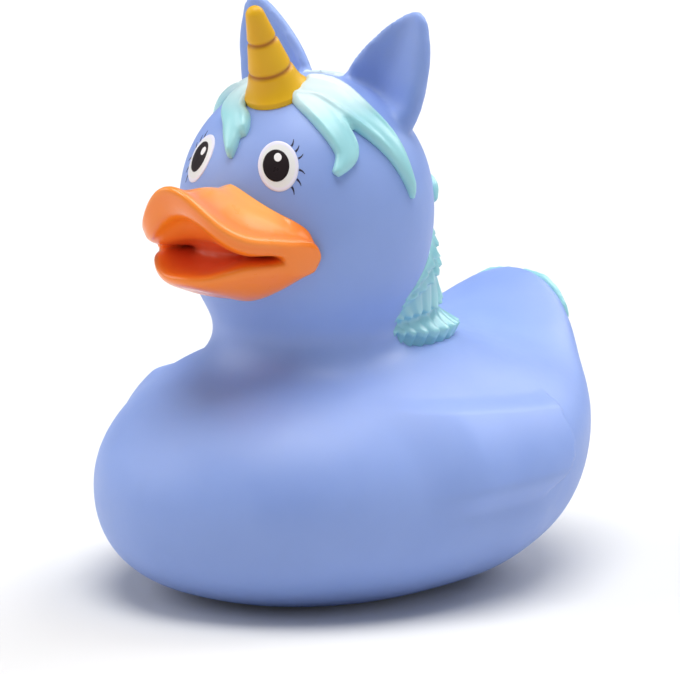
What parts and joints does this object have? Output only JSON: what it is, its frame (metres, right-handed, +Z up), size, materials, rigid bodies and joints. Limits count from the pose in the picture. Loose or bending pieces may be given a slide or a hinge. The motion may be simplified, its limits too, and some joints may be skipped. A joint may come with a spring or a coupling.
{
  "type": "rubber duck",
  "caption": "Hollow soft-vinyl bath duck with an open upturned bill, a grooved horn, pointed ears, a curly mane and a vent in its flat base.",
  "frame": {"origin": "middle of the bounding box at the flat base", "axes": "+Z up, -Y the way the duck faces, +X its left side"},
  "size_m": [0.0736, 0.0954, 0.0945],
  "materials": {
    "blue_vinyl": "satin",
    "orange_paint": "gloss",
    "yellow_paint": "satin",
    "aqua_paint": "satin",
    "white_print": "satin",
    "black_print": "gloss"
  },
  "bodies": {
    "root": {"duck": "blue_vinyl"}
  },
  "joints": []
}
